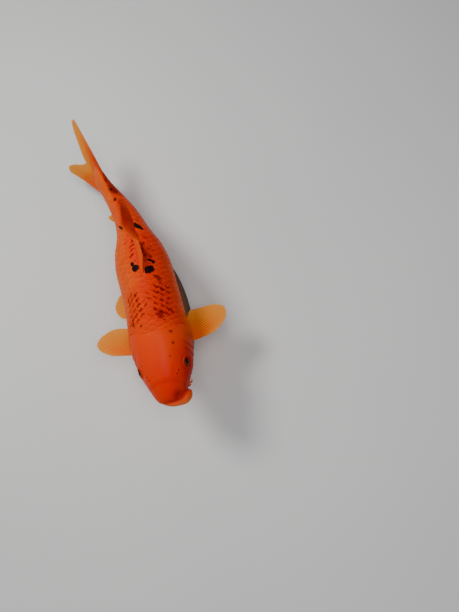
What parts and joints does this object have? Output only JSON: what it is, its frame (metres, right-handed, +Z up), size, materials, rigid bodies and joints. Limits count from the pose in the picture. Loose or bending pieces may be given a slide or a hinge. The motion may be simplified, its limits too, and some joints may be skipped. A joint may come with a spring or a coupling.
{
  "type": "koi carp display model",
  "caption": "Life-size still model of an orange koi carp swimming with spread fins and a bent tail, held up by rods on a flat oval display base.",
  "frame": {"origin": "centre of the stand's underside, on the surface that it rests on", "axes": "-Y towards the snout, +Y towards the tail, +Z up, +X towards the fish's left side"},
  "size_m": [0.2012, 0.5034, 0.1939],
  "materials": {
    "skin": "satin",
    "fin": "satin",
    "eye": "gloss",
    "base": "satin",
    "rod": "satin"
  },
  "bodies": {
    "root": {"head": "skin", "lip_upper": "skin", "lip_lower": "skin", "gill_cover_left": "skin", "gill_cover_right": "skin", "barbel_left_front": "skin", "barbel_right_front": "skin", "barbel_left_rear": "skin", "barbel_right_rear": "skin", "trunk_front": "skin", "trunk_middle": "skin", "trunk_rear": "skin", "tail_stalk": "skin", "pectoral_fin_left": "fin", "pectoral_fin_right": "fin", "pelvic_fin_left": "fin", "pelvic_fin_right": "fin", "dorsal_fin": "fin", "anal_fin": "fin", "tail_fin_upper": "fin", "tail_fin_lower": "fin", "eye_left": "eye", "eye_right": "eye", "stand_base": "base", "stand_rod_front": "rod", "stand_rod_rear": "rod", "stand_collar_front": "rod", "stand_collar_rear": "rod"}
  },
  "joints": []
}
